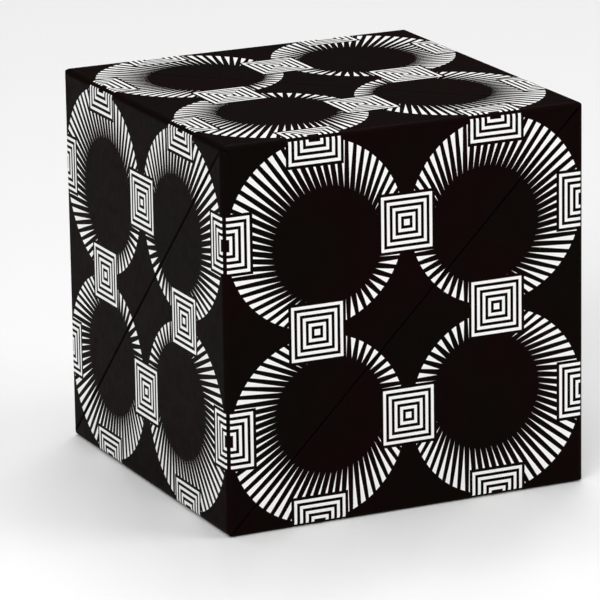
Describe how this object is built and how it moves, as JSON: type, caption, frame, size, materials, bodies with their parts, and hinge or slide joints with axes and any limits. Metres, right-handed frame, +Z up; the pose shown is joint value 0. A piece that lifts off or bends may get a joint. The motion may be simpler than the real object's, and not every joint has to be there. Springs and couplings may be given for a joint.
{
  "type": "magnetic folding cube",
  "caption": "Closed magnetic folding cube: hollow tetrahedral pieces joined in a ring by film hinges, with a black and white printed skin.",
  "frame": {"origin": "middle of the closed cube's bottom face", "axes": "+Z up, the front face looks along -Y, +X to the right seen from the front"},
  "size_m": [0.061, 0.061, 0.061],
  "materials": {
    "shell": "satin black moulded ABS",
    "cap": "satin black moulded ABS",
    "magnet": "nickel plated disc magnet",
    "printed_film": "satin laminated film, black with a white print",
    "film_hinge": "satin laminated film, bent round the edge"
  },
  "bodies": {
    "bottom_left": {"shell_bottom_left": "shell", "cap_bottom_left": "cap", "magnets_bottom_left": "magnet", "film_bottom_left": "printed_film"},
    "left_front": {"shell_left_front": "shell", "cap_left_front": "cap", "magnets_left_front": "magnet", "film_left_front": "printed_film", "hinge_bottom_left": "film_hinge"},
    "front_left": {"shell_front_left": "shell", "cap_front_left": "cap", "magnets_front_left": "magnet", "film_front_left": "printed_film", "hinge_front_left": "film_hinge"},
    "top_left": {"shell_top_left": "shell", "cap_top_left": "cap", "magnets_top_left": "magnet", "film_top_left": "printed_film", "hinge_top_front": "film_hinge"},
    "left_back": {"shell_left_back": "shell", "cap_left_back": "cap", "magnets_left_back": "magnet", "film_left_back": "printed_film", "hinge_top_left": "film_hinge"},
    "back_left": {"shell_back_left": "shell", "cap_back_left": "cap", "magnets_back_left": "magnet", "film_back_left": "printed_film", "hinge_back_left": "film_hinge"},
    "top_right": {"shell_top_right": "shell", "cap_top_right": "cap", "magnets_top_right": "magnet", "film_top_right": "printed_film", "hinge_top_back": "film_hinge"},
    "right_back": {"shell_right_back": "shell", "cap_right_back": "cap", "magnets_right_back": "magnet", "film_right_back": "printed_film", "hinge_top_right": "film_hinge"},
    "back_right": {"shell_back_right": "shell", "cap_back_right": "cap", "magnets_back_right": "magnet", "film_back_right": "printed_film", "hinge_back_right": "film_hinge", "hinge_bottom_back": "film_hinge"},
    "bottom_right": {"shell_bottom_right": "shell", "cap_bottom_right": "cap", "magnets_bottom_right": "magnet", "film_bottom_right": "printed_film", "hinge_bottom_right": "film_hinge"},
    "right_front": {"shell_right_front": "shell", "cap_right_front": "cap", "magnets_right_front": "magnet", "film_right_front": "printed_film", "hinge_front_right": "film_hinge"},
    "front_right": {"shell_front_right": "shell", "cap_front_right": "cap", "magnets_front_right": "magnet", "film_front_right": "printed_film", "hinge_bottom_front": "film_hinge"}
  },
  "joints": [
    {"name": "hinge_bottom_front", "type": "hinge", "parent": "bottom_left", "child": "front_right", "pos_m": [0, -0.0305, 0], "axis": [1, 0, 0], "range_deg": [0, 18], "deforming": ["hinge_bottom_front"]},
    {"name": "hinge_front_right", "type": "hinge", "parent": "front_right", "child": "right_front", "pos_m": [0.0305, -0.0305, 0.0305], "axis": [0, 0, -1], "range_deg": [0, 14.4], "deforming": ["hinge_front_right"]},
    {"name": "hinge_bottom_right", "type": "hinge", "parent": "right_front", "child": "bottom_right", "pos_m": [0.0305, 0, 0], "axis": [0, -1, 0], "range_deg": [0, 18], "deforming": ["hinge_bottom_right"]},
    {"name": "hinge_bottom_left", "type": "hinge", "parent": "bottom_left", "child": "left_front", "pos_m": [-0.0305, 0, 0], "axis": [0, -1, 0], "range_deg": [0, 14.4], "deforming": ["hinge_bottom_left"]},
    {"name": "hinge_front_left", "type": "hinge", "parent": "left_front", "child": "front_left", "pos_m": [-0.0305, -0.0305, 0.0305], "axis": [0, 0, -1], "range_deg": [0, 18], "deforming": ["hinge_front_left"]},
    {"name": "hinge_top_front", "type": "hinge", "parent": "front_left", "child": "top_left", "pos_m": [0, -0.0305, 0.061], "axis": [1, 0, 0], "range_deg": [0, 14.4], "deforming": ["hinge_top_front"]},
    {"name": "hinge_top_left", "type": "hinge", "parent": "top_left", "child": "left_back", "pos_m": [-0.0305, 0, 0.061], "axis": [0, 1, 0], "range_deg": [0, 18], "deforming": ["hinge_top_left"]},
    {"name": "hinge_back_left", "type": "hinge", "parent": "left_back", "child": "back_left", "pos_m": [-0.0305, 0.0305, 0.0305], "axis": [0, 0, 1], "range_deg": [0, 14.4], "deforming": ["hinge_back_left"]},
    {"name": "hinge_top_back", "type": "hinge", "parent": "back_left", "child": "top_right", "pos_m": [0, 0.0305, 0.061], "axis": [-1, 0, 0], "range_deg": [0, 18], "deforming": ["hinge_top_back"]},
    {"name": "hinge_top_right", "type": "hinge", "parent": "top_right", "child": "right_back", "pos_m": [0.0305, 0, 0.061], "axis": [0, -1, 0], "range_deg": [0, 14.4], "deforming": ["hinge_top_right"]},
    {"name": "hinge_back_right", "type": "hinge", "parent": "right_back", "child": "back_right", "pos_m": [0.0305, 0.0305, 0.0305], "axis": [0, 0, -1], "range_deg": [0, 18], "deforming": ["hinge_back_right"]}
  ],
  "couplings": [
    {"joint": "hinge_front_right", "follows": "hinge_bottom_front", "ratio": 0.8},
    {"joint": "hinge_bottom_right", "follows": "hinge_bottom_front", "ratio": 1},
    {"joint": "hinge_bottom_left", "follows": "hinge_bottom_front", "ratio": 0.8},
    {"joint": "hinge_front_left", "follows": "hinge_bottom_front", "ratio": 1},
    {"joint": "hinge_top_front", "follows": "hinge_bottom_front", "ratio": 0.8},
    {"joint": "hinge_top_left", "follows": "hinge_bottom_front", "ratio": 1},
    {"joint": "hinge_back_left", "follows": "hinge_bottom_front", "ratio": 0.8},
    {"joint": "hinge_top_back", "follows": "hinge_bottom_front", "ratio": 1},
    {"joint": "hinge_top_right", "follows": "hinge_bottom_front", "ratio": 0.8},
    {"joint": "hinge_back_right", "follows": "hinge_bottom_front", "ratio": 1}
  ]
}
